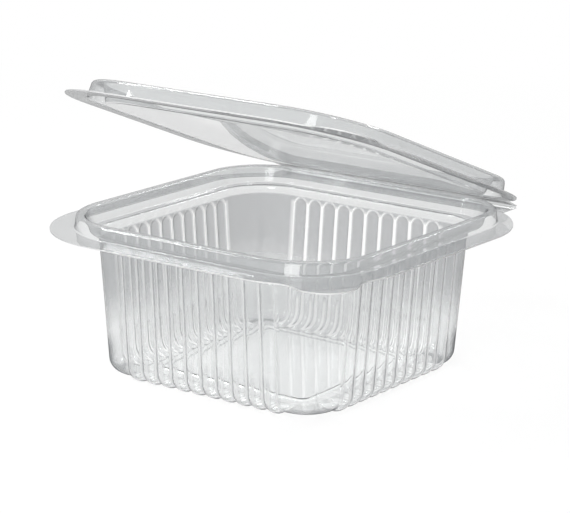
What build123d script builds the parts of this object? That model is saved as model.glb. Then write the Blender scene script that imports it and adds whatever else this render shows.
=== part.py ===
"""Clear hinged food pack: a fluted square tub and a flat lid, formed from one thin plastic sheet.

The origin is on the table in the middle of the pack's outline, from the front edge to the fold,
+Z is up, and the hinge is on the +Y side. Both pieces are drawn about the middle of the tub,
the lid in its closed place, and are moved to the origin at the end.
"""
from build123d import *

import os
from math import atan2, cos, degrees, hypot, pi, radians, sin, tan

# Sheet and clearances
sheet = 0.4
flange_gap = 0.3
film_gap = 0.3
overrun = 1.0

# Flange outline, the same on tub and lid
flange_half = 67.5
free_corner_radius = 36.0
hinge_corner_radius = 39.0
tab_radius = 10.6
tab_blend = 12.0
join_tolerance = 0.1

# Tub rim: a raised ring inside the flange, and a ledge below its inner wall. At the hinge its
# corners are tighter than the flange's, so the flange is narrow there
ring_hinge_radius = 31.0
flange_top = 51.7
rim_rise = 4.7
rim_foot_inset = 8.4
rim_top_inset = 8.9
mouth_top_inset = 12.0
mouth_slope = 19.3
ledge_drop = 1.0

# Tub wall between the pockets
wall_height_ref = 48.7
wall_inset = 17.4
wall_half_ref = flange_half - wall_inset
wall_draft = 4.4
wall_corner_radius = 16.8
wall_corner_centre = wall_half_ref - wall_corner_radius

# Pockets in the wall, which turn under the bottom and end as feet
pocket_count = 10
pocket_run_margin = 1.55
pocket_pitch = 2 * (wall_corner_centre - pocket_run_margin) / pocket_count
pocket_land = 0.9
pocket_flank = 1.15
pocket_depth = 1.1
pocket_top = 47.5
pocket_half_width = (pocket_pitch - pocket_land) / 2
pocket_crest_half_width = pocket_half_width - pocket_flank
bottom_radius = 4.0
turn_steps = 4
tangent_share = 2 - 2**0.5
foot_inset = 14.1
foot_end = wall_half_ref - foot_inset

# Raised panel in the floor
panel_inset = 5.0
panel_half = foot_end - panel_inset
panel_corner_radius = 3.0
panel_rise = 0.8
panel_slope_run = 0.4

# Lid ring and panel
lid_ring_rise = 6.2
lid_foot_inset = 7.6
lid_top_inset = 8.2
lid_mouth_gap = 0.5
lid_panel_drop = 0.6

# Hinge beads and opening
bead_radius = 1.5
bead_inset = 0.1
bead_end_inset = 17.5
bead_half_length = flange_half - bead_end_inset
strip_root_inset = 8.0
film_width = 0.3
lid_opening = 21.0


def outline(inset, height, flange=False):
    """The outline of the flange, or of a ring moved in by an inset, as a face at a height."""
    half = flange_half - inset
    hinge_radius = hinge_corner_radius if flange else ring_hinge_radius
    face = Rectangle(2 * half, 2 * half)
    free = face.vertices().group_by(Axis.Y)[0]
    face = fillet(free, free_corner_radius - inset)
    hinged = [v for v in face.vertices() if v.Y > half - overrun and abs(v.X) > half - overrun]
    face = fillet(hinged, hinge_radius - inset)
    if flange:
        centre = flange_half - tab_radius
        face = face + Pos(centre, -centre) * Circle(tab_radius)
        joins = [v for v in face.vertices() if is_join(v)]
        face = fillet(joins, tab_blend)
    return Pos(0, 0, height) * face


def is_join(vertex):
    """True where the tab's circle crosses the rounded corner."""
    corner = flange_half - free_corner_radius
    tab = flange_half - tab_radius
    from_corner = hypot(vertex.X - corner, vertex.Y + corner) - free_corner_radius
    from_tab = hypot(vertex.X - tab, vertex.Y + tab) - tab_radius
    on_corner = abs(from_corner) < join_tolerance
    on_tab = abs(from_tab) < join_tolerance
    return on_corner and on_tab


def tapered(face, rise, inward):
    """A block on a face, whose sides move in by a length as it rises."""
    return extrude(face, rise, taper=degrees(atan2(inward, rise)))


def ring_block(levels):
    """A block whose outline is at each level's inset and height."""
    blocks = [
        tapered(outline(low, start), end - start, high - low)
        for (low, start), (high, end) in zip(levels, levels[1:])
    ]
    return sum(blocks[1:], blocks[0])


def plate(bottom):
    """The flat flange with its thumb tab, one sheet thick."""
    return extrude(outline(0, bottom, True), sheet)


def rounded_square(half, radius, height):
    return Pos(0, 0, height) * RectangleRounded(2 * half, 2 * half, radius)


def wall_half(height):
    """Half width of the wall's outside between the pockets."""
    return wall_half_ref + (height - wall_height_ref) * tan(radians(wall_draft))


def tub_body(inside, top):
    """The tub's outside, or with inside set, the space within it."""
    shift = sheet if inside else 0
    bottom = pocket_depth + shift
    low = wall_half(bottom) - shift
    high = wall_half(top) - shift
    base = rounded_square(low, low - wall_corner_centre, bottom)
    body = tapered(base, top - bottom, low - high)
    edges = body.faces().sort_by(Axis.Z)[0].edges()
    body = chamfer(edges, (bottom_radius - pocket_depth - shift) * tangent_share)
    body = body - floor_panel(bottom, shift)
    return body + pockets(inside)


def floor_panel(bottom, shift):
    """The step that raises the middle of the floor."""
    low = panel_half + panel_slope_run + shift
    high = panel_half + shift
    base = rounded_square(low, panel_corner_radius + shift + panel_slope_run, bottom)
    return tapered(base, panel_rise, low - high)


def pocket_profile(inside):
    """Half of a pocket's section: sideways, and in from its outer face."""
    shift = sheet if inside else 0
    slope = atan2(pocket_depth, pocket_half_width - pocket_crest_half_width)
    crest = pocket_crest_half_width - shift * tan(slope / 2)
    root = crest + pocket_depth / tan(slope)
    reach = sheet / 2
    return [
        (root, pocket_depth + shift + reach),
        (root, pocket_depth + shift),
        (crest, shift),
    ]


def foot_turn(crest, lean):
    """Corners of the short flats that carry a pocket round the bottom radius."""
    middle = crest + bottom_radius * (tan(lean) - 1 / cos(lean))
    turn = (pi / 2 - lean) / turn_steps
    reach = bottom_radius / cos(turn / 2)
    angles = [-lean - turn * (i + 1 / 2) for i in range(turn_steps)]
    return [(0, middle + reach * cos(a), bottom_radius + reach * sin(a)) for a in angles]


def pocket(inside):
    """One pocket at the middle of the +Y wall, from its top round to its foot."""
    lean = radians(wall_draft)
    crest = wall_half(0) + pocket_depth / cos(lean)
    shift = sheet if inside else 0
    top = pocket_top - shift
    start = (0, crest + top * tan(lean), top)
    end = (0, foot_end + shift, 0)
    path = Polyline(start, *foot_turn(crest, lean), end)
    along = Vector(0, -sin(lean), -cos(lean))
    half = pocket_profile(inside)
    mirrored = [(-x, y) for x, y in reversed(half)]
    frame = Plane(origin=start, x_dir=(1, 0, 0), z_dir=along)
    section = frame * make_face(Polyline(*half, *mirrored, close=True))
    return sweep(section, path, transition=Transition.RIGHT)


def pockets(inside):
    """The pockets of all four walls."""
    single = pocket(inside)
    first = -pocket_pitch * (pocket_count - 1) / 2
    row = [Pos(first + pocket_pitch * i, 0, 0) * single for i in range(pocket_count)]
    return [Rot(0, 0, turn) * item for turn in (0, 90, 180, 270) for item in row]


def hinge_strip(base, up):
    """The strip that carries one hinge bead, from the flange to the fold."""
    way = 1 if up else -1
    centre = flange_half - bead_inset + bead_radius
    outer = Pos(centre, 0) * Circle(bead_radius)
    inner = Pos(centre, 0) * Circle(bead_radius - sheet)
    keep = Pos(centre, way * bead_radius) * Rectangle(4 * bead_radius, 2 * bead_radius)
    bead = (outer - inner) & keep
    root = flange_half - strip_root_inset
    mid = centre - bead_radius + sheet / 2
    level = way * sheet / 2
    bead += Pos((root + mid) / 2, level) * Rectangle(mid - root, sheet)
    far = fold_y() - film_gap
    near = centre + bead_radius - sheet / 2
    bead += Pos((near + far) / 2, level) * Rectangle(far - near, sheet)
    side = Plane(origin=(-bead_half_length, 0, base), x_dir=(0, 1, 0), z_dir=(1, 0, 0))
    return extrude(side * bead, 2 * bead_half_length)


def fold_y():
    return flange_half - bead_inset + 2 * bead_radius + film_width + film_gap


def make_tub():
    slope = tan(radians(mouth_slope))
    rim_top = flange_top + rim_rise
    ledge_top = flange_top - ledge_drop
    skew = sheet / cos(radians(mouth_slope))
    mouth_foot_inset = mouth_top_inset + (rim_top - ledge_top) * slope
    tub = plate(flange_top - sheet)
    tub += ring_block([(rim_foot_inset, flange_top - sheet), (rim_top_inset, rim_top)])
    tub -= ring_block(
        [(rim_foot_inset + sheet, flange_top - sheet), (rim_top_inset + sheet, rim_top - sheet)]
    )
    tub += ring_block(
        [
            (mouth_foot_inset + sheet * slope - skew, ledge_top - sheet),
            (mouth_top_inset + sheet * slope - skew, rim_top - sheet),
            (mouth_top_inset + sheet * slope - skew, rim_top - sheet / 2),
        ]
    )
    tub += tub_body(False, ledge_top - sheet / 2)
    tub -= ring_block(
        [
            (mouth_foot_inset, ledge_top),
            (mouth_top_inset - overrun * slope, rim_top + overrun),
        ]
    )
    tub -= tub_body(True, ledge_top + overrun)
    tub += hinge_strip(flange_top, False)
    return tub


def make_lid():
    slope = tan(radians(mouth_slope))
    skew = sheet / cos(radians(mouth_slope))
    base = flange_top + flange_gap
    ring_top = base + lid_ring_rise
    panel_top = base + sheet - lid_panel_drop
    tub_rim_top = flange_top + rim_rise
    wall_at_rim = mouth_top_inset + lid_mouth_gap

    def wall_inset(height):
        return wall_at_rim + (tub_rim_top - height) * slope

    lid = plate(base)
    lid += ring_block([(lid_foot_inset, base), (lid_top_inset, ring_top)])
    lid -= ring_block([(lid_foot_inset + sheet, base), (lid_top_inset + sheet, ring_top - sheet)])
    lid += ring_block(
        [
            (wall_inset(panel_top - sheet), panel_top - sheet),
            (wall_inset(ring_top - sheet), ring_top - sheet),
            (wall_inset(ring_top - sheet), ring_top - sheet / 2),
        ]
    )
    lid -= ring_block(
        [
            (wall_inset(panel_top) + skew, panel_top),
            (wall_inset(ring_top + overrun) + skew, ring_top + overrun),
        ]
    )
    lid += hinge_strip(base, True)
    axis = Axis((0, fold_y(), flange_top + flange_gap / 2), (1, 0, 0))
    return lid.rotate(axis, -lid_opening)


os.makedirs("parts", exist_ok=True)
tub = make_tub()
lid = make_lid()
boxes = [tub.bounding_box(), lid.bounding_box()]
centre = (min(box.min.Y for box in boxes) + max(box.max.Y for box in boxes)) / 2
print("fold line at", fold_y() - centre, flange_top + flange_gap / 2)
for name, shape in (("tub", tub), ("lid", lid)):
    placed = Pos(0, -centre, 0) * shape
    export_step(placed, "parts/" + name + ".step")
    print(name, placed.volume, len(placed.solids()), placed.bounding_box())
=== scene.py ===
"""Clear hinged food pack: a fluted square tub, its flat lid and the film hinge between them.

Everything is thermoformed from one thin sheet of clear plastic, so each piece is drawn as the
middle of that sheet and then given the sheet's thickness. The pockets in the tub's wall round
over at the top and curl under at the foot, and they run on into the rim, flange and hinge bead
without a seam, so the points of each sheet come from formulas of its outline and section.
"""

from math import acos, atan2, cos, hypot, pi, radians, sin, sqrt, tan

import bpy
from mathutils import Matrix, Vector


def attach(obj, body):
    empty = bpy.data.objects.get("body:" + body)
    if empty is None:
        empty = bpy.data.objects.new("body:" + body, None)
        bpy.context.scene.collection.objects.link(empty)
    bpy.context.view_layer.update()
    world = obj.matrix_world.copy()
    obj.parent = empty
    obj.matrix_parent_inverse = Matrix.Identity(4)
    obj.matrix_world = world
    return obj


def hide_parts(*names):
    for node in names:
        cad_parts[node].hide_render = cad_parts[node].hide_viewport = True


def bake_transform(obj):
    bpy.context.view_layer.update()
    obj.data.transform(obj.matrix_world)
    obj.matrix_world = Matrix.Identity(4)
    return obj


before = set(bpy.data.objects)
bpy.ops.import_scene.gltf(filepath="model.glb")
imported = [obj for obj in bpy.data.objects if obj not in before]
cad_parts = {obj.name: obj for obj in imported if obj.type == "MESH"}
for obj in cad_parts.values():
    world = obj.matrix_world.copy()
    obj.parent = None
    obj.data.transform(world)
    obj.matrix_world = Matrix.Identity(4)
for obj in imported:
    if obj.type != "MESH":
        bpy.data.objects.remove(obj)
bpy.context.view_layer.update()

# Sizes are in millimetres and degrees. A point is drawn about the middle of the tub and then
# moved by the distance from there to the middle of the whole pack
MM = 0.001
PACK_CENTRE_Y = 1.7085
SHEET = 0.4
WELD = 0.01
SMOOTH_ANGLE = 50.0

# Flange outline, the same on tub and lid: the arc centres of its corners at the front and at
# the fold, and the thumb tab with the ring of points that carries a share of it
FLANGE_HALF = 67.5
FLANGE_TOP = 51.7
FREE_CENTRE = 31.5
HINGE_CENTRE = 28.5
TAB_RADIUS = 10.6
TAB_BLEND = 12.0
TAB_RING_INSET = 3.5
TAB_RING_SHARE = 0.25

# Tub rim, as (inset from the flange's edge, bend's radius) in the middle of the sheet. The
# corners of the rings at the fold are tighter than the flange's
RING_HINGE_CENTRE = 36.5
RIM_TOP = 56.4
LEDGE_LEVEL = 50.5
RIM_FOOT = (8.55, 0.7)
RIM_SHOULDER = (9.1, 1.1)
MOUTH_TOP = (11.78, 1.1)
MOUTH_FOOT = (13.86, 0.8)
LEDGE_BEND_RADIUS = 0.9
RIM_BEND_STEPS = 4
WALL_START = 48.0
# The corners change from the flange's to the rings' and then to the wall's over these insets
TUB_RING_INSET = 8.4
WALL_BLEND_START = 14.3
WALL_BLEND_RUN = 1.6

# Tub wall between the pockets, by the half width of its outside at one height
WALL_HALF = 50.1
WALL_HEIGHT = 48.7
WALL_DRAFT = 4.4
WALL_CENTRE = 33.3
SIDE_STEPS = 10
CORNER_STEPS = 24
TAB_CORNER_STEPS = 60

# Pockets: places across one, and rows down the wall and along its foot under the bottom
POCKET_COUNT = 10
POCKET_PITCH = 6.35
POCKET_FIRST = -POCKET_PITCH * (POCKET_COUNT - 1) / 2
POCKET_DEPTH = 1.1
POCKET_FULLNESS = 2.3
POCKET_HALF_WIDTH = 2.725
POCKET_ACROSS = (0.5, 1.15, 1.7, 2.15, 2.5, POCKET_HALF_WIDTH)
POCKET_TOP = 47.5
POCKET_ROWS_TOP = POCKET_TOP - 0.1
POCKET_DROPS = (0, 0.25, 0.5, 0.9, 1.3, 1.75, 2.25, 2.8, 3.4, 9, 15, 21, 27, 33, 38)
BOTTOM_RADIUS = 6.0
BOTTOM_STEPS = 10
FOOT_END = 36.0
FOOT_HALVES = (39.2, 38.6, 38.1, 37.6, 37.2, 36.8, 36.45, 36.2, FOOT_END, 35.4)
OFF_POCKETS = 9.0

# Floor with its plain raised panel, in the middle of the sheet
FLOOR_LEVEL = POCKET_DEPTH + SHEET / 2
FLOOR_HALF = 35.0
PANEL_HALF = 31.0
PANEL_FLAT_HALF = 29.5
PANEL_SLOPE_RUN = 0.4
PANEL_BEND_RADIUS = 0.4
PANEL_BEND_STEPS = 3
PANEL_RISE = 0.8
PANEL_CORNER = 3.0
PANEL_CORNER_GROWTH = 0.9

# Lid in its closed place, as (inset from the flange's edge, bend's radius), with its panel
# drawn in towards the middle by shares
FLANGE_GAP = 0.3
LID_RISE = 6.2
LID_PANEL_DROP = 0.6
LID_FOOT = (7.8, 0.7)
LID_SHOULDER = (8.38, 1.2)
LID_MOUTH_INSET = 12.5
LID_MOUTH_RADIUS = 1.1
LID_PANEL_RADIUS = 0.8
LID_BEND_STEPS = 5
LID_RING_INSET = 7.4
LID_PANEL_INSET = 20.0
LID_PANEL_SHARES = (0.75, 0.5, 0.25)
MOUTH_SLOPE = 19.3

# Hinge: two beads, and the film that folds between them
FOLD_Y = 71.0
FOLD_Z = 51.85
LID_OPENING = 21.0
BEAD_START = 67.4
BEAD_WIDTH = 3.0
BEAD_DEPTH = 1.3
BEAD_HALF_LENGTH = 50.0
BEAD_END_RUN = 1.6
BEAD_STEPS = 12
BEAD_FILM_END = 70.7
FILM_SHEET = 0.2
FILM_RADIUS = 0.35
FILM_HALF_LENGTH = 49.4
FILM_STEPS = 40
FOLD_STEPS = 10

# Painted white highlights on the lines where the sheet bends sharply. A distance from a pocket's
# middle line is a share of its half width, and a distance along the wall is from the top of the
# pockets
LINE_WIDTH = 0.12
BEND_LINE_WIDTH = 0.16
LAND_LINE_WIDTH = 0.25
STROKE_HALF_WIDTH = 0.45
STROKE_FADE = 0.2
ARCH_LINE = 0.15
ARCH_FADE = 0.75
BEND_START = 33.0
BEND_FADE_IN = 6.0
BEND_END = 51.5
BEND_FADE_OUT = 3.0
# the painted highlights on the tub's outside are fainter by this share
OUTER_HIGHLIGHT_SHARE = 0.5

# Painted grey shade that stands for a darker surround seen through the sheet: how much of a face it
# takes square on, and how strongly it draws a painted dark outline of what turns away from the eye.
# It fades down the wall over these heights
WALL_TOP = (0.62, 0.9)
WALL_FOOT = (0.04, 1.0)
# round the bend under the bottom: more painted shade and a darker painted outline
WALL_BEND = (0.18, 3.2)
FLOOR = (0.0, 0.0)
FLANGE = (0.29, 0.4)
RIM = (0.21, 0.9)
LID_PANEL = (0.08, 0.1)
SHADE_FOOT = 8.0
SHADE_RISE = 24.0
# The outside of the tub's wall, beyond a half width, and the back of every face carry less painted
# shade
OUTER_COVER = 0.37
OUTER_FROM = 44.0
OUTER_SHADE_FOOT = 16.0
OUTER_SHADE_RISE = 20.0
BACK_COVER = 0.3

# Colours of the finishes, and how clear plastic bends light
PET_IOR = 1.575
SHEET_COLOUR = "FBFCFC"
# painted shade: its grey, the darker grey of its painted outline, and the grey painted on a cut
# edge that turns away
PAINTED_SHADE_COLOUR = "96989A"
PAINTED_OUTLINE_COLOUR = "3C3E40"
EDGE_SHADE_COLOUR = "7C7E80"
PAPER_COLOUR = "FAFAFA"
WHITE = "FFFFFF"
# share that a painted white highlight takes on a ridge
HIGHLIGHT_COVER = 0.9
GLANCE_POWER = 5.0
LIGHT_PASSING = 0.92
EDGE_COVER = 0.85
EDGE_SHADOW = 0.3

# The photograph's frame, focal length and the tub's middle on the table, in pixels, and the
# rest of its camera in millimetres and degrees, all from the fit to the pack's outline
FRAME_WIDTH = 570
FRAME_HEIGHT = 513
SENSOR_WIDTH = 36.0
CAMERA_DISTANCE = 870.0
CAMERA_AZIMUTH = 35.73
CAMERA_ELEVATION = 14.55
CAMERA_ROLL = 0.74
CAMERA_FOCAL = 2497.0
TUB_MIDDLE_AT = (283.12, 367.43)

# White paper on the table and white all round, in metres. The paper's white takes over from
# its shaded face between two (distance, share) pairs, and the surround lights at a share
PAPER_SIZE = 6
PAPER_NEAR = (0.2, 0.6)
PAPER_FAR = (0.6, 1.0)
SURROUND_LIGHT = 0.5

# Lamps, in metres: a tall box at the front as (azimuth, elevation, width, height, radiance),
# and small ones at (azimuth, elevation) that glint in the feet, the corners and the lid
LAMP_DISTANCE = 1.2
LAMP_TARGET = Vector((0, 0, 0.05))
FRONT_BOX = (17, 25, 0.42, 0.90, 4.0)
SMALL_BOX_PLACES = ((-45, 32), (-70, 46), (-110, 52), (170, 36), (100, 70))
SMALL_BOX_SIZE = 0.16
SMALL_BOX_RADIANCE = 24.0


# Outline of the pack
def side_places(with_pockets):
    """Places along one straight side, from -WALL_CENTRE to WALL_CENTRE."""
    if not with_pockets:
        return [WALL_CENTRE * (2 * i / SIDE_STEPS - 1) for i in range(SIDE_STEPS + 1)]
    across = [-a for a in reversed(POCKET_ACROSS)] + list(POCKET_ACROSS)
    places = [-WALL_CENTRE]
    for i in range(POCKET_COUNT):
        places += [POCKET_FIRST + POCKET_PITCH * i + a for a in across]
    return places + [WALL_CENTRE]


def columns(with_pockets):
    """The mesh's columns round the pack: ("side", side, place) or ("corner", corner, turn).

    Side 0 is the front (-Y) from left to right, then right, hinge and left. Corner n follows
    side n, and corner 0, with the thumb tab, has more columns.
    """
    result = []
    for side in range(4):
        result += [("side", side, p) for p in side_places(with_pockets)]
        steps = TAB_CORNER_STEPS if side == 0 else CORNER_STEPS
        result += [("corner", side, 90 * i / steps) for i in range(1, steps)]
    return result


def turned(x, y, side):
    """A point of the front side, turned to another side."""
    for _ in range(side):
        x, y = -y, x
    return x, y


def arc_centres(family):
    """Arc centre of each corner: front right, hinge right, hinge left, front left.

    The family runs from 0, the wall, by 1, the rings, to 2, the edge of the flange.
    """
    share = min(family, 1.0)
    free = WALL_CENTRE + (FREE_CENTRE - WALL_CENTRE) * share
    hinged = WALL_CENTRE + (RING_HINGE_CENTRE - WALL_CENTRE) * share
    hinged += (HINGE_CENTRE - RING_HINGE_CENTRE) * max(family - 1.0, 0.0)
    return [free, hinged, hinged, free]


def tab_reach(turn):
    """Distance of the edge from the front right arc's centre, where the thumb tab stands out."""
    radius = FLANGE_HALF - FREE_CENTRE
    gap = sqrt(2) * (FLANGE_HALF - TAB_RADIUS - FREE_CENTRE)
    turn = abs(radians(turn))
    far = radius + TAB_BLEND
    blend_turn = acos((far**2 + gap**2 - (TAB_RADIUS + TAB_BLEND) ** 2) / (2 * far * gap))
    if turn >= blend_turn:
        return radius
    side = far * sin(blend_turn - turn)
    blended = far * cos(blend_turn - turn) - sqrt(max(TAB_BLEND**2 - side**2, 0))
    inside = TAB_RADIUS**2 - (gap * sin(turn)) ** 2
    if inside <= 0:
        return blended
    round_tip = gap * cos(turn) + sqrt(inside)
    joint_x = far * cos(blend_turn) - gap
    joint_y = far * sin(blend_turn)
    share = TAB_RADIUS / (TAB_RADIUS + TAB_BLEND)
    joint_turn = atan2(joint_y * share, gap + joint_x * share)
    return round_tip if turn <= joint_turn else blended


def outline_point(column, half, family, tab=0.0):
    """The place of a column on the outline whose sides are at half from the middle."""
    kind, side, value = column
    arcs = arc_centres(family)
    if kind == "side":
        before, after = arcs[side - 1], arcs[side]
        share = (value + WALL_CENTRE) / (2 * WALL_CENTRE)
        return turned(-before + (before + after) * share, -half, side)
    centre = arcs[side]
    angle = radians(value) - pi / 2
    reach = half - centre
    if tab and side == 0:
        reach += tab * (tab_reach(value - 45) - (FLANGE_HALF - FREE_CENTRE))
    return turned(centre + reach * cos(angle), -centre + reach * sin(angle), side)


def ring_points(cols, half, height, family, tab=0.0, strip=False):
    """One ring of the mesh. Its strip reaches out to the bead along the fold, square-ended."""
    points = [outline_point(column, half, family, tab) for column in cols]
    if strip:
        along = [
            i
            for i, (x, y) in enumerate(points)
            if abs(x) <= BEAD_HALF_LENGTH and y > HINGE_CENTRE
        ]
        for i in along:
            points[i] = (points[i][0], BEAD_START)
        corner = FLANGE_HALF - HINGE_CENTRE
        notch = HINGE_CENTRE + sqrt(corner**2 - (BEAD_HALF_LENGTH - HINGE_CENTRE) ** 2)
        for last, beyond, x in (
            (along[0], along[0] - 1, BEAD_HALF_LENGTH),
            (along[-1], along[-1] + 1, -BEAD_HALF_LENGTH),
        ):
            points[last] = (x, BEAD_START)
            points[beyond] = (x, notch)
    return [(x, y, height) for x, y in points]


# Section of the sheet
def rounded(points, steps):
    """A line of (inset, height, radius) points with its corners rounded."""
    result = [points[0][:2]]
    for (ax, ay, _), (bx, by, radius), (cx, cy, _) in zip(points, points[1:], points[2:]):
        back = Vector((ax - bx, ay - by)).normalized()
        on = Vector((cx - bx, cy - by)).normalized()
        half = back.angle(on) / 2
        middle = Vector((bx, by)) + (back + on).normalized() * (radius / sin(half))
        start = Vector((bx, by)) + back * (radius / tan(half)) - middle
        way = 1 if back.x * on.y - back.y * on.x < 0 else -1
        for i in range(steps + 1):
            spin = way * (pi - 2 * half) * i / steps
            result.append(tuple(middle + Matrix.Rotation(spin, 2) @ start))
    result.append(points[-1][:2])
    return result


def wall_half(height):
    """Half width of the middle of the sheet between the pockets."""
    return WALL_HALF - SHEET / 2 + (height - WALL_HEIGHT) * tan(radians(WALL_DRAFT))


def tub_rings():
    """Each ring of the tub's rim as (half width, height, corner family, tab, strip)."""
    flange = FLANGE_TOP - SHEET / 2
    rim = RIM_TOP - SHEET / 2
    section = rounded(
        [
            (0, flange, 0),
            (RIM_FOOT[0], flange, RIM_FOOT[1]),
            (RIM_SHOULDER[0], rim, RIM_SHOULDER[1]),
            (MOUTH_TOP[0], rim, MOUTH_TOP[1]),
            (MOUTH_FOOT[0], LEDGE_LEVEL, MOUTH_FOOT[1]),
            (FLANGE_HALF - wall_half(LEDGE_LEVEL), LEDGE_LEVEL, LEDGE_BEND_RADIUS),
            (FLANGE_HALF - wall_half(WALL_START), WALL_START, 0),
        ],
        RIM_BEND_STEPS,
    )
    rings = []
    for inset, height in section:
        if inset < TUB_RING_INSET:
            family = 2.0 - inset / TUB_RING_INSET
        elif inset < WALL_BLEND_START:
            family = 1.0
        else:
            family = max(0.0, 1 - (inset - WALL_BLEND_START) / WALL_BLEND_RUN)
        rings.append((FLANGE_HALF - inset, height, family))
    return with_tab(rings, TUB_RING_INSET)


def lid_rings(flange, panel):
    """Each ring of the lid as (half width, height, corner family, tab, strip)."""
    top = FLANGE_TOP + FLANGE_GAP + LID_RISE - SHEET / 2
    slope = radians(MOUTH_SLOPE)
    mouth = LID_MOUTH_INSET + SHEET / 2 / cos(slope)
    section = rounded(
        [
            (0, flange, 0),
            (LID_FOOT[0], flange, LID_FOOT[1]),
            (LID_SHOULDER[0], top, LID_SHOULDER[1]),
            (mouth + (RIM_TOP - top) * tan(slope), top, LID_MOUTH_RADIUS),
            (mouth + (RIM_TOP - panel) * tan(slope), panel, LID_PANEL_RADIUS),
            (LID_PANEL_INSET, panel, 0),
        ],
        LID_BEND_STEPS,
    )
    rings = [
        (FLANGE_HALF - inset, height, max(1.0, 2.0 - inset / LID_RING_INSET))
        for inset, height in section
    ]
    return with_tab(rings, LID_RING_INSET)


def with_tab(rings, ring_inset):
    """The rings with the tab and the strip on the edge, and a ring inside it that eases the tab."""
    edge, *others = rings
    family = 2.0 - TAB_RING_INSET / ring_inset
    eased = (FLANGE_HALF - TAB_RING_INSET, edge[1], family, TAB_RING_SHARE, False)
    return [(*edge, 1.0, True), eased] + [(*ring, 0.0, False) for ring in others]


def wall_path():
    """The wall from the top of the pockets round the bottom and along the feet: (half, height)."""
    path = []
    for drop in POCKET_DROPS:
        height = POCKET_ROWS_TOP - drop
        path.append((wall_half(height), height))
    radius = BOTTOM_RADIUS - POCKET_DEPTH - SHEET / 2
    lean = radians(WALL_DRAFT)
    middle = wall_half(FLOOR_LEVEL + radius) - radius / cos(lean)
    for i in range(BOTTOM_STEPS + 1):
        angle = -lean - (pi / 2 - lean) * i / BOTTOM_STEPS
        half = middle + radius * cos(angle)
        path.append((half, FLOOR_LEVEL + radius + radius * sin(angle)))
    return path + [(half, FLOOR_LEVEL) for half in FOOT_HALVES]


# How far a point bulges out as a pocket, and its painted highlights and painted shade
def smooth_step(value):
    """0 below 0 and 1 above 1, with a soft rise between them."""
    value = max(0.0, min(1.0, value))
    return value * value * (3 - 2 * value)


def pocket_reach(column, along, end):
    """Distance from the middle line of the nearest pocket, where 1 is its edge."""
    kind, _, place = column
    if kind != "side":
        return OFF_POCKETS
    nearest = round((place - POCKET_FIRST) / POCKET_PITCH)
    nearest = max(0, min(POCKET_COUNT - 1, nearest))
    across = place - POCKET_FIRST - POCKET_PITCH * nearest
    if along < POCKET_HALF_WIDTH:
        past = POCKET_HALF_WIDTH - along
    else:
        past = max(0.0, along - (end - POCKET_HALF_WIDTH))
    return hypot(across, past) / POCKET_HALF_WIDTH


def bend_share(along):
    """1 where the wall turns under the bottom, and 0 well away from it."""
    start = smooth_step((along - BEND_START) / BEND_FADE_IN)
    return start * smooth_step((BEND_END - along) / BEND_FADE_OUT)


def ridge_highlight_mark(along, reach):
    """Painted white highlight along a pocket's edge, where the sheet bends sharply: full between
    pockets, faint over a pocket's top.

    Round the bottom the painted line is broader, and a painted highlight runs down the middle of a
    pocket too.
    """
    bend = bend_share(along)
    width = LINE_WIDTH + BEND_LINE_WIDTH * bend
    if reach < 1:
        mark = smooth_step((reach - 1 + width) / width)
    else:
        mark = smooth_step((1 + LAND_LINE_WIDTH - reach) / LAND_LINE_WIDTH)
    if reach < STROKE_HALF_WIDTH:
        mark = max(mark, bend * smooth_step((STROKE_HALF_WIDTH - reach) / STROKE_FADE))
    above = POCKET_HALF_WIDTH - along
    if above > 0 and reach > 0:
        sideways = sqrt(max(0.0, 1 - (above / POCKET_HALF_WIDTH / reach) ** 2))
        mark *= ARCH_LINE + (1 - ARCH_LINE) * smooth_step(sideways / ARCH_FADE)
    return mark


def wall_painted_shade(height, along):
    """The wall's painted grey shade, lighter towards the floor, with more of it round the bend
    under the bottom.
    """
    high = smooth_step((height - SHADE_FOOT) / SHADE_RISE)
    bend = bend_share(along)
    return [
        foot + (top - foot) * high + extra * bend
        for foot, top, extra in zip(WALL_FOOT, WALL_TOP, WALL_BEND)
    ]


def lid_painted_shade(height, flange):
    """The lid's painted grey shade by a point's height in its closed place: panel, flange and bead,
    or ring.
    """
    if height < flange - LID_PANEL_DROP / 2:
        return LID_PANEL
    return FLANGE if height < flange + SHEET / 2 else RIM


# Pieces
def join_rings(vertices, count):
    """Faces from ring to ring of a sheet, and a fan that closes the last one at its middle."""
    faces = []
    inner = len(vertices) - count
    for start in range(0, inner, count):
        for i in range(count):
            j = (i + 1) % count
            faces.append((start + i, start + j, start + count + j, start + count + i))
    middle = len(vertices)
    vertices.append((0, 0, vertices[-1][2]))
    faces += [(inner + i, inner + (i + 1) % count, middle) for i in range(count)]
    return faces


def add_bead(vertices, faces, count, way, height):
    """The bead along the hinge, from the edge of the flange to the film."""
    last = [i for i in range(count) if vertices[i][1] == BEAD_START]
    last.sort(key=lambda i: vertices[i][0])
    places = [vertices[i][0] for i in last]
    steps = [BEAD_WIDTH * s / BEAD_STEPS for s in range(1, BEAD_STEPS + 1)]
    for step in steps + [BEAD_FILM_END - BEAD_START]:
        ring = []
        for x in places:
            ends = smooth_step((BEAD_HALF_LENGTH - abs(x)) / BEAD_END_RUN)
            bulge = 0.5 * (1 - cos(2 * pi * min(step / BEAD_WIDTH, 1.0)))
            ring.append(len(vertices))
            vertices.append((x, BEAD_START + step, height + way * BEAD_DEPTH * ends * bulge))
        for k in range(len(ring) - 1):
            faces.append((last[k], last[k + 1], ring[k + 1], ring[k]))
        last = ring


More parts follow.
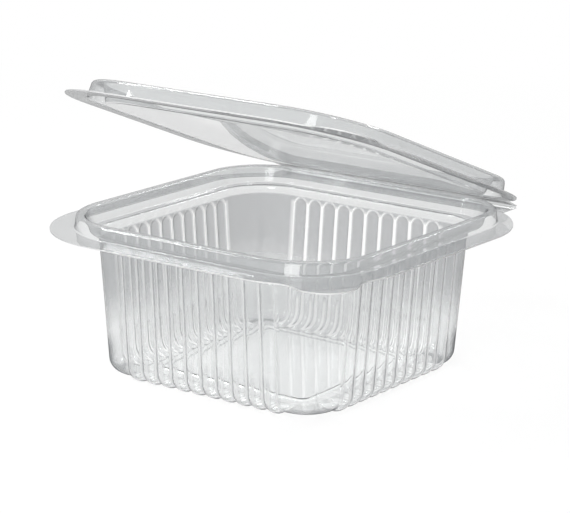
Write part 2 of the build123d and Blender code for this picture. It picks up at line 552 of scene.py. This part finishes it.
def new_sheet(name, vertices, faces, thickness, ridge_highlights, shade_covers):
    """A piece from the middle of its sheet, closed up, thickened and smooth.

    Its points carry its painted highlights and painted shade. The numbers of the back face's points
    come too.
    """
    mesh = bpy.data.meshes.new(name)
    mesh.from_pydata([[c * MM for c in v] for v in vertices], [], faces)
    shade_amounts, outlines = zip(*shade_covers)
    for title, values in (("painted_ridge_highlight", ridge_highlights), ("painted_shade", shade_amounts), ("outline", outlines)):
        mesh.attributes.new(title, "FLOAT", "POINT").data.foreach_set("value", values)
    mesh.materials.append(CLEAR_SHEET)
    mesh.materials.append(CUT_EDGE)
    piece = bpy.data.objects.new(name, mesh)
    bpy.context.scene.collection.objects.link(piece)
    bpy.ops.object.select_all(action="DESELECT")
    piece.select_set(True)
    bpy.context.view_layer.objects.active = piece
    bpy.ops.object.mode_set(mode="EDIT")
    bpy.ops.mesh.select_all(action="SELECT")
    bpy.ops.mesh.remove_doubles(threshold=WELD * MM)
    bpy.ops.mesh.normals_make_consistent(inside=False)
    bpy.ops.object.mode_set(mode="OBJECT")
    wall = piece.modifiers.new("Sheet", "SOLIDIFY")
    wall.thickness = thickness * MM
    wall.offset = 0
    wall.use_even_offset = True
    wall.material_offset_rim = 1
    wall.shell_vertex_group = piece.vertex_groups.new(name="back face").name
    bpy.ops.object.modifier_apply(modifier=wall.name)
    back = [v.index for v in piece.data.vertices if any(g.weight > 0.5 for g in v.groups)]
    piece.vertex_groups.clear()
    bpy.ops.object.shade_smooth_by_angle(angle=radians(SMOOTH_ANGLE))
    return piece, back


def fade_outside_paint(tub, outside):
    """Fainter painted highlights on the tub's outside, and less painted shade on its wall there,
    none near the foot.
    """
    ridge_highlights = tub.data.attributes["painted_ridge_highlight"].data
    shade_covers = tub.data.attributes["painted_shade"].data
    for i in outside:
        x, y, z = tub.data.vertices[i].co / MM
        ridge_highlights[i].value *= OUTER_HIGHLIGHT_SHARE
        if z < POCKET_TOP and max(abs(x), abs(y)) > OUTER_FROM:
            shade_covers[i].value *= OUTER_COVER * smooth_step((z - OUTER_SHADE_FOOT) / OUTER_SHADE_RISE)


def rim_part(cols):
    """Points of the tub's flange, rim, mouth and ledge, with no painted highlights and with their
    painted shade.
    """
    vertices = []
    for half, height, family, tab, strip in tub_rings():
        vertices += ring_points(cols, half, height, family, tab, strip)
    shade_covers = [FLANGE if FLANGE_TOP - 1 < z < FLANGE_TOP else RIM for _, _, z in vertices]
    return vertices, [0.0] * len(vertices), shade_covers


def wall_part(cols):
    """Points of the fluted wall, from the top of its pockets to the ends of their feet."""
    path = wall_path()
    along = [0.0]
    for (a, b), (c, d) in zip(path, path[1:]):
        along.append(along[-1] + hypot(c - a, d - b))
    end = along[[half for half, _ in path].index(FOOT_END)]
    vertices, ridge_highlights, shade_covers = [], [], []
    for i, (half, height) in enumerate(path):
        before, after = path[max(i - 1, 0)], path[min(i + 1, len(path) - 1)]
        down = Vector((after[0] - before[0], after[1] - before[1])).normalized()
        for column in cols:
            reach = pocket_reach(column, along[i], end)
            bulge = POCKET_DEPTH * (1 - reach**POCKET_FULLNESS) if reach < 1 else 0.0
            x, y = outline_point(column, half - bulge * down.y, 0.0)
            vertices.append((x, y, height + bulge * down.x))
            ridge_highlights.append(ridge_highlight_mark(along[i], reach))
            shade_covers.append(wall_painted_shade(height, along[i]))
    return vertices, ridge_highlights, shade_covers


def floor_part(cols):
    """Points of the floor from the feet up on to its raised panel, whose corners are round."""
    panel = FLOOR_LEVEL + PANEL_RISE
    section = rounded(
        [
            (FLOOR_HALF, FLOOR_LEVEL, 0),
            (PANEL_HALF + PANEL_SLOPE_RUN, FLOOR_LEVEL, PANEL_BEND_RADIUS),
            (PANEL_HALF, panel, PANEL_BEND_RADIUS),
            (PANEL_FLAT_HALF, panel, 0),
        ],
        PANEL_BEND_STEPS,
    )
    vertices = []
    for half, height in section:
        corner = PANEL_CORNER + max(0.0, half - PANEL_HALF) * PANEL_CORNER_GROWTH
        centre = half - corner
        for kind, side, value in cols:
            if kind == "side":
                x, y = turned(value / WALL_CENTRE * centre, -half, side)
            else:
                angle = radians(value) - pi / 2
                x, y = centre + corner * cos(angle), -centre + corner * sin(angle)
                x, y = turned(x, y, side)
            vertices.append((x, y, height))
    return vertices, [0.0] * len(vertices), [FLOOR] * len(vertices)


def make_tub():
    """The fluted tub with its rim, flange, thumb tab and hinge bead."""
    cols = columns(True)
    vertices, ridge_highlights, shade_covers = [], [], []
    for part in (rim_part(cols), wall_part(cols), floor_part(cols)):
        vertices += part[0]
        ridge_highlights += part[1]
        shade_covers += part[2]
    faces = join_rings(vertices, len(cols))
    add_bead(vertices, faces, len(cols), -1, FLANGE_TOP - SHEET / 2)
    rest = len(vertices) - len(ridge_highlights)
    ridge_highlights += [0.0] * rest
    shade_covers += [FLOOR] * rest
    placed = [(x, y - PACK_CENTRE_Y, z) for x, y, z in vertices]
    tub, outside = new_sheet("tub_sheet", placed, faces, SHEET, ridge_highlights, shade_covers)
    fade_outside_paint(tub, outside)
    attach(tub, "tub")
    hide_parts("tub")


def opened(point):
    """A point of the closed lid, turned about the fold to where the lid rests."""
    x, y, z = point
    angle = -radians(LID_OPENING)
    dy, dz = y - FOLD_Y, z - FOLD_Z
    return (
        x,
        FOLD_Y - PACK_CENTRE_Y + dy * cos(angle) - dz * sin(angle),
        FOLD_Z + dy * sin(angle) + dz * cos(angle),
    )


def make_lid():
    """The flat lid with its raised ring, flange, thumb tab and hinge bead."""
    cols = columns(False)
    flange = FLANGE_TOP + FLANGE_GAP + SHEET / 2
    panel = flange - LID_PANEL_DROP
    vertices = []
    for half, height, family, tab, strip in lid_rings(flange, panel):
        vertices += ring_points(cols, half, height, family, tab, strip)
    for share in LID_PANEL_SHARES:
        for column in cols:
            x, y = outline_point(column, FLANGE_HALF - LID_PANEL_INSET, 1.0)
            vertices.append((x * share, y * share, panel))
    faces = join_rings(vertices, len(cols))
    add_bead(vertices, faces, len(cols), 1, flange)
    shade_covers = [lid_painted_shade(z, flange) for _, _, z in vertices]
    placed = [opened(point) for point in vertices]
    ridge_highlights = [0.0] * len(vertices)
    lid, _ = new_sheet("lid_sheet", placed, faces, SHEET, ridge_highlights, shade_covers)
    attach(lid, "lid")
    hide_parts("lid")


def make_film():
    """The thin film that folds between the two beads."""
    opening = radians(LID_OPENING)
    points = [(-2 * FILM_RADIUS, -FILM_RADIUS), (-FILM_RADIUS, -FILM_RADIUS)]
    for i in range(FOLD_STEPS + 1):
        angle = -pi / 2 + (pi - opening) * i / FOLD_STEPS
        points.append((FILM_RADIUS * cos(angle), FILM_RADIUS * sin(angle)))
    end_y, end_z = points[-1]
    for along in (FILM_RADIUS, 2 * FILM_RADIUS):
        points.append((end_y - along * cos(opening), end_z + along * sin(opening)))
    fold_y = FOLD_Y - PACK_CENTRE_Y
    vertices = []
    for i in range(FILM_STEPS + 1):
        x = FILM_HALF_LENGTH * (2 * i / FILM_STEPS - 1)
        vertices += [(x, fold_y + y, FOLD_Z + z) for y, z in points]
    wide = len(points)
    faces = [
        (a, a + 1, a + wide + 1, a + wide)
        for a in range(FILM_STEPS * wide)
        if (a + 1) % wide
    ]
    ridge_highlights = [0.0] * len(vertices)
    shade_covers = [FLANGE] * len(vertices)
    film, _ = new_sheet("hinge_film", vertices, faces, FILM_SHEET, ridge_highlights, shade_covers)
    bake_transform(film)


# Finishes
def linear(code):
    """An sRGB hex colour as a linear one."""
    values = [int(code[i : i + 2], 16) / 255 for i in (0, 2, 4)]
    return [v / 12.92 if v <= 0.04045 else ((v + 0.055) / 1.055) ** 2.4 for v in values] + [1]


def add(tree, kind, settings=None, **links):
    """A node of a kind with its settings, its inputs' values and its links.

    An input is given by its name, or by its number after an underscore.
    """
    node = tree.nodes.new(kind)
    for key, value in (settings or {}).items():
        setattr(node, key, value)
    for key, value in links.items():
        title = key.strip("_")
        socket = node.inputs[int(title) if title.isdigit() else title.replace("_", " ")]
        if isinstance(value, bpy.types.NodeSocket):
            tree.links.new(value, socket)
        else:
            socket.default_value = value
    return node


def empty_tree(owner):
    """The node tree of a new material or world, with nothing in it."""
    owner.use_nodes = True
    owner.node_tree.nodes.clear()
    return owner.node_tree


def clear_pet_sheet():
    """Thermoformed clear PET sheet: it bends and mirrors light as an IOR of 1.575 does, under a
    faint painted grey shade, and painted white highlights lie along its sharp ridges."""
    mat = bpy.data.materials.new("thermoformed_clear_pet_sheet")
    tree = empty_tree(mat)
    out = add(tree, "ShaderNodeOutputMaterial")
    # forming leaves slow waves about 14 mm apart in the sheet, which make its reflections swim
    place = add(tree, "ShaderNodeTexCoord")
    waves = add(
        tree,
        "ShaderNodeTexNoise",
        {"noise_dimensions": "3D"},
        Vector=place.outputs["Object"],
        Scale=70.0,
        Detail=2.0,
        Roughness=0.5,
    )
    bump = add(
        tree, "ShaderNodeBump", Strength=0.02, Distance=0.0006, Height=waves.outputs[0]
    )
    glass = add(
        tree,
        "ShaderNodeBsdfPrincipled",
        Base_Color=linear(SHEET_COLOUR),
        Roughness=0.02,
        IOR=PET_IOR,
        Transmission_Weight=1.0,
        Normal=bump.outputs[0],
    )
    # the painted grey shade lies on a face by its own mark, less on its back, and more where it
    # turns away, as a painted dark outline
    look = add(tree, "ShaderNodeLayerWeight", Blend=0.5)
    steep = add(
        tree, "ShaderNodeMath", {"operation": "POWER"}, _0=look.outputs["Facing"], _1=GLANCE_POWER
    )
    outline = add(tree, "ShaderNodeAttribute", {"attribute_name": "outline"})
    glance = add(
        tree,
        "ShaderNodeMath",
        {"operation": "MULTIPLY"},
        _0=steep.outputs[0],
        _1=outline.outputs["Fac"],
    )
    side = add(tree, "ShaderNodeNewGeometry")
    part = add(
        tree, "ShaderNodeMapRange", _0=side.outputs["Backfacing"], _3=1.0, _4=BACK_COVER
    )
    painted_shade = add(tree, "ShaderNodeAttribute", {"attribute_name": "painted_shade"})
    near = add(
        tree,
        "ShaderNodeMath",
        {"operation": "MULTIPLY"},
        _0=painted_shade.outputs["Fac"],
        _1=part.outputs[0],
    )
    depth = add(
        tree, "ShaderNodeMath", {"operation": "ADD"}, _0=near.outputs[0], _1=glance.outputs[0]
    )
    # the painted white highlights on the ridges show on their front only
    front = add(
        tree, "ShaderNodeMath", {"operation": "SUBTRACT"}, _0=1.0, _1=side.outputs["Backfacing"]
    )
    painted_ridge_highlight = add(tree, "ShaderNodeAttribute", {"attribute_name": "painted_ridge_highlight"})
    ridge = add(
        tree,
        "ShaderNodeMath",
        {"operation": "MULTIPLY"},
        _0=painted_ridge_highlight.outputs["Fac"],
        _1=front.outputs[0],
    )
    white = add(
        tree, "ShaderNodeMath", {"operation": "MULTIPLY"}, _0=ridge.outputs[0], _1=HIGHLIGHT_COVER
    )
    veil = add(
        tree, "ShaderNodeMath", {"operation": "MAXIMUM"}, _0=depth.outputs[0], _1=white.outputs[0]
    )
    # painted shade: grey square on, and a darker painted outline where the face turns away
    dark = add(
        tree,
        "ShaderNodeMix",
        {"data_type": "RGBA"},
        _0=steep.outputs[0],
        _6=linear(PAINTED_SHADE_COLOUR),
        _7=linear(PAINTED_OUTLINE_COLOUR),
    )
    # painted white highlight on the ridges over the painted shade
    colour = add(
        tree,
        "ShaderNodeMix",
        {"data_type": "RGBA"},
        _0=ridge.outputs[0],
        _6=dark.outputs[2],
        _7=linear(WHITE),
    )
    grey = add(tree, "ShaderNodeBsdfDiffuse", Color=colour.outputs[2])
    body = add(
        tree,
        "ShaderNodeMixShader",
        _0=veil.outputs[0],
        _1=glass.outputs[0],
        _2=grey.outputs[0],
    )
    # lamps and the floor's light pass the sheet nearly unhindered, so its shadow stays pale
    ray = add(tree, "ShaderNodeLightPath")
    passing = add(
        tree,
        "ShaderNodeMath",
        {"operation": "MAXIMUM"},
        _0=ray.outputs["Is Shadow Ray"],
        _1=ray.outputs["Is Diffuse Ray"],
    )
    let = add(
        tree,
        "ShaderNodeMath",
        {"operation": "MULTIPLY"},
        _0=passing.outputs[0],
        _1=LIGHT_PASSING,
    )
    clear = add(tree, "ShaderNodeBsdfTransparent", Color=linear(WHITE))
    whole = add(
        tree,
        "ShaderNodeMixShader",
        _0=let.outputs[0],
        _1=body.outputs[0],
        _2=clear.outputs[0],
    )
    tree.links.new(whole.outputs[0], out.inputs[0])
    return mat


def die_cut_edge():
    """Die-cut edge of the sheet: slightly frosted, so it catches the light as a white line, with
    grey painted as shade where it turns away from the eye.
    """
    mat = bpy.data.materials.new("die_cut_pet_edge")
    tree = empty_tree(mat)
    out = add(tree, "ShaderNodeOutputMaterial")
    look = add(tree, "ShaderNodeLayerWeight", Blend=0.5)
    # painted shade: white square on, grey where the edge turns away from the eye
    colour = add(
        tree,
        "ShaderNodeMix",
        {"data_type": "RGBA"},
        _0=look.outputs["Facing"],
        _6=linear(WHITE),
        _7=linear(EDGE_SHADE_COLOUR),
    )
    frost = add(
        tree,
        "ShaderNodeBsdfPrincipled",
        Base_Color=colour.outputs[2],
        Roughness=0.35,
        IOR=PET_IOR,
    )
    # some light passes the frosted edge, and more of it in its shadow
    clear = add(tree, "ShaderNodeBsdfTransparent", Color=linear(WHITE))
    ray = add(tree, "ShaderNodeLightPath")
    shadow = ray.outputs["Is Shadow Ray"]
    let = add(tree, "ShaderNodeMapRange", _0=shadow, _3=EDGE_COVER, _4=EDGE_SHADOW)
    mix = add(
        tree,
        "ShaderNodeMixShader",
        _0=let.outputs[0],
        _1=clear.outputs[0],
        _2=frost.outputs[0],
    )
    tree.links.new(mix.outputs[0], out.inputs[0])
    return mat


# Floor, light and camera
def photo_camera():
    """The photograph's camera, placed by where the tub's middle on the table falls in it."""
    azimuth, elevation = radians(CAMERA_AZIMUTH), radians(CAMERA_ELEVATION)
    roll = radians(CAMERA_ROLL)
    back = from_front(azimuth, elevation)
    right = Vector((cos(azimuth), sin(azimuth), 0))
    up = back.cross(right)
    camera_right = right * cos(roll) + up * sin(roll)
    camera_up = up * cos(roll) - right * sin(roll)
    scale = CAMERA_DISTANCE / CAMERA_FOCAL
    across = (TUB_MIDDLE_AT[0] - FRAME_WIDTH / 2) * scale
    above = (FRAME_HEIGHT / 2 - TUB_MIDDLE_AT[1]) * scale
    place = back * CAMERA_DISTANCE - camera_right * across - camera_up * above
    place.y -= PACK_CENTRE_Y
    camera = bpy.data.objects.new("camera", bpy.data.cameras.new("camera"))
    bpy.context.scene.collection.objects.link(camera)
    turn = Matrix((camera_right, camera_up, back)).transposed()
    camera.matrix_world = Matrix.Translation(place * MM) @ turn.to_4x4()
    camera.data.sensor_width = SENSOR_WIDTH
    camera.data.lens = CAMERA_FOCAL / FRAME_WIDTH * SENSOR_WIDTH
    camera.data.clip_start = 0.01
    bpy.context.scene.camera = camera


def from_front(azimuth, elevation):
    """A direction: azimuth from the front towards the right, elevation from the table."""
    return Vector(
        (sin(azimuth) * cos(elevation), -cos(azimuth) * cos(elevation), sin(elevation))
    )


def seen_directly(tree):
    """1 for what the eye sees, straight, mirrored or through the clear sheet, and 0 for light."""
    ray = add(tree, "ShaderNodeLightPath")
    seen = ray.outputs["Is Camera Ray"]
    for kind in ("Is Glossy Ray", "Is Transmission Ray"):
        either = add(
            tree, "ShaderNodeMath", {"operation": "MAXIMUM"}, _0=seen, _1=ray.outputs[kind]
        )
        seen = either.outputs[0]
    return seen


def matt_white_paper():
    """Matt white paper: it keeps the pack's shadow near it, and is plain white further out."""
    mat = bpy.data.materials.new("matt_white_paper_floor")
    tree = empty_tree(mat)
    out = add(tree, "ShaderNodeOutputMaterial")
    paper = add(tree, "ShaderNodeBsdfDiffuse", Color=linear(PAPER_COLOUR))
    white = add(tree, "ShaderNodeEmission", Color=linear(WHITE), Strength=1.0)
    place = add(tree, "ShaderNodeTexCoord")
    far = add(
        tree, "ShaderNodeVectorMath", {"operation": "LENGTH"}, _0=place.outputs["Object"]
    )
    outer = add(
        tree,
        "ShaderNodeMapRange",
        _0=far.outputs["Value"],
        _1=PAPER_NEAR[0],
        _2=PAPER_FAR[0],
        _3=PAPER_NEAR[1],
        _4=PAPER_FAR[1],
    )
    share = add(
        tree,
        "ShaderNodeMath",
        {"operation": "MULTIPLY"},
        _0=seen_directly(tree),
        _1=outer.outputs[0],
    )
    mix = add(
        tree,
        "ShaderNodeMixShader",
        _0=share.outputs[0],
        _1=paper.outputs[0],
        _2=white.outputs[0],
    )
    tree.links.new(mix.outputs[0], out.inputs[0])
    return mat


def paper_floor():
    """The table under the pack."""
    bpy.ops.object.select_all(action="DESELECT")
    bpy.ops.mesh.primitive_plane_add(size=PAPER_SIZE, location=(0, 0, 0))
    floor = bpy.context.object
    floor.name = "floor"
    floor.data.materials.append(matt_white_paper())


def white_surround():
    """A surround that the eye and the clear sheet see as white, and that lights the pack less."""
    world = bpy.data.worlds.new("studio")
    bpy.context.scene.world = world
    tree = empty_tree(world)
    out = add(tree, "ShaderNodeOutputWorld")
    level = add(tree, "ShaderNodeMapRange", _0=seen_directly(tree), _3=SURROUND_LIGHT, _4=1.0)
    back = add(
        tree, "ShaderNodeBackground", Color=linear(WHITE), Strength=level.outputs[0]
    )
    tree.links.new(back.outputs[0], out.inputs[0])


def soft_box(name, azimuth, elevation, width, height, radiance):
    """A lamp aimed at the pack, where a radiance of 1 is white."""
    data = bpy.data.lights.new(name, "AREA")
    data.energy = radiance * pi * width * height
    data.shape = "RECTANGLE"
    data.size = width
    data.size_y = height
    lamp = bpy.data.objects.new(name, data)
    bpy.context.scene.collection.objects.link(lamp)
    away = from_front(radians(azimuth), radians(elevation)) * LAMP_DISTANCE
    turn = (-away).to_track_quat("-Z", "Y").to_matrix().to_4x4()
    lamp.matrix_world = Matrix.Translation(LAMP_TARGET + away) @ turn


CLEAR_SHEET = clear_pet_sheet()
CUT_EDGE = die_cut_edge()
make_tub()
make_lid()
make_film()

photo_camera()
paper_floor()
white_surround()
soft_box("front_soft_box", *FRONT_BOX)
for i, (azimuth, elevation) in enumerate(SMALL_BOX_PLACES):
    name = "small_soft_box_" + str(i)
    soft_box(name, azimuth, elevation, SMALL_BOX_SIZE, SMALL_BOX_SIZE, SMALL_BOX_RADIANCE)
bpy.context.scene.view_settings.view_transform = "Standard"
